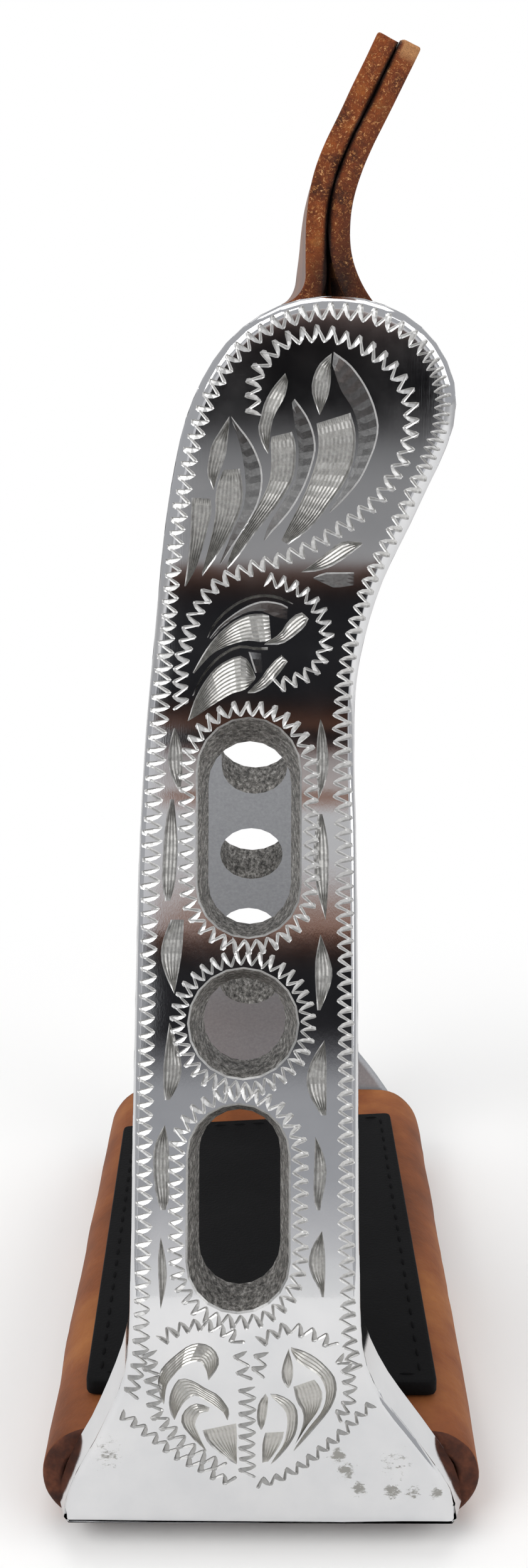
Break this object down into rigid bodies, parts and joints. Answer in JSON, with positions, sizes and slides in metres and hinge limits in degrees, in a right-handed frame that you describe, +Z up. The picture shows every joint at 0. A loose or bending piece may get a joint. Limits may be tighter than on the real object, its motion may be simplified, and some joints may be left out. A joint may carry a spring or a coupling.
{
  "type": "western stirrup",
  "caption": "Engraved cast aluminium riding stirrup with a leather-covered tread, rubber foot pad, top roller and folded leather strap.",
  "frame": {"origin": "under the middle of the tread, on the plane the stirrup stands on", "axes": "+X across the foot towards the side the heads lean to, +Y along the tread from the near leg to the far leg, +Z up through the neck"},
  "size_m": [0.0688, 0.143, 0.2251],
  "materials": {
    "polished_aluminium": "polished, hand-engraved outer faces",
    "cast_aluminium": "as cast",
    "tread_leather": "tan, smooth grain side out",
    "pad_rubber": "matt black",
    "strap_leather": "red-brown, cut edges raw",
    "bolt_steel": "zinc plated",
    "screw_steel": "zinc plated",
    "roller_steel": "drawn stainless tube",
    "bush_bronze": "turned bronze"
  },
  "bodies": {
    "stirrup_frame": {"near_leg": "polished_aluminium", "far_leg": "polished_aluminium", "tread_deck": "cast_aluminium", "tread_leather": "tread_leather", "tread_pad": "pad_rubber", "top_bolt": "bolt_steel", "bolt_washer": "bolt_steel", "roller_bush_near": "bush_bronze", "roller_bush_far": "bush_bronze", "deck_screw_near_left": "screw_steel", "deck_screw_near_right": "screw_steel", "deck_screw_far_left": "screw_steel", "deck_screw_far_right": "screw_steel", "wrap_screw_left_1": "screw_steel", "wrap_screw_left_2": "screw_steel", "wrap_screw_left_3": "screw_steel", "wrap_screw_right_1": "screw_steel", "wrap_screw_right_2": "screw_steel", "wrap_screw_right_3": "screw_steel"},
    "roller_tube": {"roller": "roller_steel"},
    "strap_loop": {"hanger_strap": "strap_leather"}
  },
  "joints": [
    {"name": "roller_spin", "type": "hinge", "parent": "stirrup_frame", "child": "roller_tube", "pos_m": [0.01, 0, 0.1739], "axis": [0, 1, 0], "continuous": true},
    {"name": "strap_swing", "type": "hinge", "parent": "stirrup_frame", "child": "strap_loop", "pos_m": [0.01, 0, 0.1739], "axis": [0, 1, 0], "continuous": true}
  ]
}
